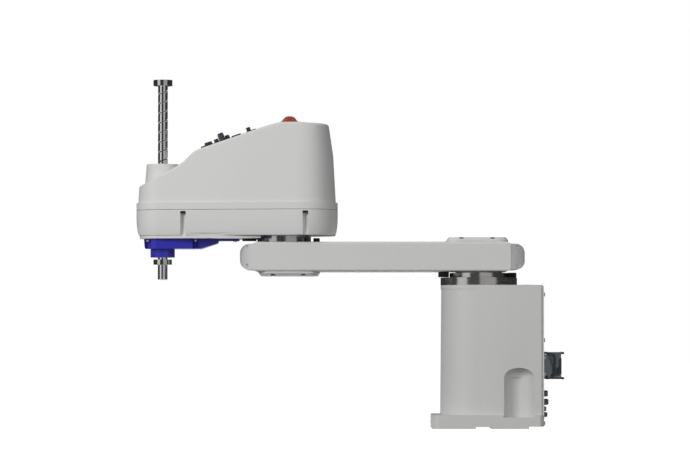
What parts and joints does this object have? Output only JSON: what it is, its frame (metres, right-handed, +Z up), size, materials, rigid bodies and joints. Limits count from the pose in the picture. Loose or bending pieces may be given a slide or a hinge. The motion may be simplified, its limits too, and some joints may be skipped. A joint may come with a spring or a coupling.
{
  "type": "scara robot",
  "caption": "Four-axis robot arm: bolted base, two horizontal arms, and a splined screw shaft that lifts and turns.",
  "frame": {"origin": "where the first axis meets the mounting plane under the base", "axes": "+Z up along the first axis, +X along the stretched arm towards the shaft"},
  "size_m": [0.8765, 0.184, 0.7159],
  "materials": {
    "casting_paint": "light grey powder coat on cast metal",
    "cover_plastic": "light grey moulded plastic, fine grain",
    "ground_steel": "ground bearing steel",
    "shaft_steel": "hardened and polished shaft steel",
    "black_oxide": "black oxide screws and stops",
    "motor_black": "black motor paint",
    "blue_plastic": "moulded blue plastic",
    "lamp_orange": "translucent orange lens",
    "black_plastic": "black glass-filled plastic",
    "connector_grey": "grey die-cast connector shell",
    "release_blue": "blue release collar",
    "release_white": "white release collar",
    "belt_rubber": "toothed belt rubber",
    "board_green": "circuit board",
    "cable_black": "cable sheath"
  },
  "bodies": {
    "base": {"base_casting": "casting_paint", "base_rear_panel": "casting_paint", "panel_screws": "ground_steel", "base_top_plug": "casting_paint", "connector_housing": "connector_grey", "connector_insert": "black_plastic", "base_air_fittings": "black_plastic", "base_bearing_ring": "ground_steel", "first_motor": "motor_black", "first_gear_ring": "ground_steel", "first_stop": "black_oxide"},
    "locking_lever": {"connector_lever": "black_oxide"},
    "first_drive": {"first_rotor": "ground_steel"},
    "arm1": {"turning_flange": "ground_steel", "first_stop_block": "black_oxide", "arm1_casting": "casting_paint", "arm1_top_cover": "casting_paint", "arm1_bottom_cover": "casting_paint", "arm1_front_cap": "cover_plastic", "arm1_rear_cap": "cover_plastic", "arm1_screws": "black_oxide", "arm1_cables": "cable_black", "elbow_flange": "ground_steel", "elbow_stop_bolts": "black_oxide"},
    "second_drive": {"second_rotor": "ground_steel"},
    "arm2": {"arm2_casting": "casting_paint", "arm2_cover": "cover_plastic", "arm2_screws": "black_oxide", "arm2_bottom_cover": "blue_plastic", "elbow_stop_block": "black_oxide", "second_motor": "motor_black", "motor_bridge": "casting_paint", "lift_motor": "motor_black", "lift_brake": "ground_steel", "roll_motor": "motor_black", "nut_housing": "casting_paint", "nut_bearings": "ground_steel", "user_panel": "black_plastic", "signal_connector": "black_plastic", "arm_air_fittings": "black_plastic", "lamp_base": "black_plastic", "lamp_lens": "lamp_orange", "control_board": "board_green", "lift_belt": "belt_rubber", "roll_belt": "belt_rubber"},
    "button": {"brake_button": "black_plastic"},
    "lift_drive": {"lift_pulley": "ground_steel"},
    "roll_drive": {"roll_pulley": "ground_steel"},
    "screw": {"screw_nut": "ground_steel"},
    "spline": {"spline_nut": "ground_steel"},
    "quill": {"shaft": "shaft_steel", "upper_stop_collar": "ground_steel", "lower_stop_collar": "ground_steel"},
    "base_sleeve_1": {"base_collar_1": "release_white"},
    "base_sleeve_2": {"base_collar_2": "release_blue"},
    "base_sleeve_3": {"base_collar_3": "release_white"},
    "base_sleeve_4": {"base_collar_4": "release_blue"},
    "arm_sleeve_1": {"arm_collar_1": "release_blue"},
    "arm_sleeve_2": {"arm_collar_2": "release_blue"},
    "arm_sleeve_3": {"arm_collar_3": "release_blue"}
  },
  "joints": [
    {"name": "first_axis", "type": "hinge", "parent": "base", "child": "arm1", "pos_m": [0, 0, 0.31], "axis": [0, 0, 1], "range_deg": [-152, 152]},
    {"name": "second_axis", "type": "hinge", "parent": "arm1", "child": "arm2", "pos_m": [0.4, 0, 0.39], "axis": [0, 0, 1], "range_deg": [-145, 145]},
    {"name": "roll_axis", "type": "hinge", "parent": "arm2", "child": "spline", "pos_m": [0.65, 0, 0.42], "axis": [0, 0, 1], "range_deg": [-360, 360]},
    {"name": "lift_axis", "type": "slide", "parent": "spline", "child": "quill", "axis": [0, 0, 1], "range_m": [-0.2, 0]},
    {"name": "screw_nut_spin", "type": "hinge", "parent": "arm2", "child": "screw", "pos_m": [0.65, 0, 0.457], "axis": [0, 0, 1], "range_deg": [-10, 3610]},
    {"name": "lift_pulley_spin", "type": "hinge", "parent": "arm2", "child": "lift_drive", "pos_m": [0.505, -0.02791, 0.457], "axis": [0, 0, 1], "range_deg": [-20, 7220]},
    {"name": "roll_pulley_spin", "type": "hinge", "parent": "arm2", "child": "roll_drive", "pos_m": [0.565, 0.02987, 0.424], "axis": [0, 0, 1], "range_deg": [-730, 730]},
    {"name": "first_drive_spin", "type": "hinge", "parent": "base", "child": "first_drive", "pos_m": [0, 0, 0.2], "axis": [0, 0, 1], "range_deg": [-12170, 12170]},
    {"name": "second_drive_spin", "type": "hinge", "parent": "arm2", "child": "second_drive", "pos_m": [0.4, 0, 0.45], "axis": [0, 0, 1], "range_deg": [-7260, 7260]},
    {"name": "lever_swing", "type": "hinge", "parent": "base", "child": "locking_lever", "pos_m": [-0.155, 0, 0.128], "axis": [0, -1, 0], "range_deg": [0, 90]},
    {"name": "brake_button_press", "type": "slide", "parent": "arm2", "child": "button", "axis": [-0.3203, 0, -0.9473], "range_m": [0, 0.002], "stiffness_N_per_m": 500, "springref_m": -0.001},
    {"name": "base_sleeve_1_press", "type": "slide", "parent": "base", "child": "base_sleeve_1", "axis": [1, 0, 0], "range_m": [0, 0.001], "stiffness_N_per_m": 500, "springref_m": -0.001},
    {"name": "base_sleeve_2_press", "type": "slide", "parent": "base", "child": "base_sleeve_2", "axis": [1, 0, 0], "range_m": [0, 0.001], "stiffness_N_per_m": 500, "springref_m": -0.001},
    {"name": "base_sleeve_3_press", "type": "slide", "parent": "base", "child": "base_sleeve_3", "axis": [1, 0, 0], "range_m": [0, 0.001], "stiffness_N_per_m": 500, "springref_m": -0.001},
    {"name": "base_sleeve_4_press", "type": "slide", "parent": "base", "child": "base_sleeve_4", "axis": [1, 0, 0], "range_m": [0, 0.001], "stiffness_N_per_m": 500, "springref_m": -0.001},
    {"name": "arm_sleeve_1_press", "type": "slide", "parent": "arm2", "child": "arm_sleeve_1", "axis": [-0.3203, 0, -0.9473], "range_m": [0, 0.001], "stiffness_N_per_m": 500, "springref_m": -0.001},
    {"name": "arm_sleeve_2_press", "type": "slide", "parent": "arm2", "child": "arm_sleeve_2", "axis": [-0.3203, 0, -0.9473], "range_m": [0, 0.001], "stiffness_N_per_m": 500, "springref_m": -0.001},
    {"name": "arm_sleeve_3_press", "type": "slide", "parent": "arm2", "child": "arm_sleeve_3", "axis": [-0.3203, 0, -0.9473], "range_m": [0, 0.001], "stiffness_N_per_m": 500, "springref_m": -0.001}
  ],
  "couplings": [
    {"joint": "screw_nut_spin", "follows": "lift_axis", "rad_per_m": -314.16},
    {"joint": "lift_pulley_spin", "follows": "lift_axis", "rad_per_m": -628.32},
    {"joint": "roll_pulley_spin", "follows": "roll_axis", "ratio": 2},
    {"joint": "first_drive_spin", "follows": "first_axis", "ratio": -80},
    {"joint": "second_drive_spin", "follows": "second_axis", "ratio": -50}
  ]
}
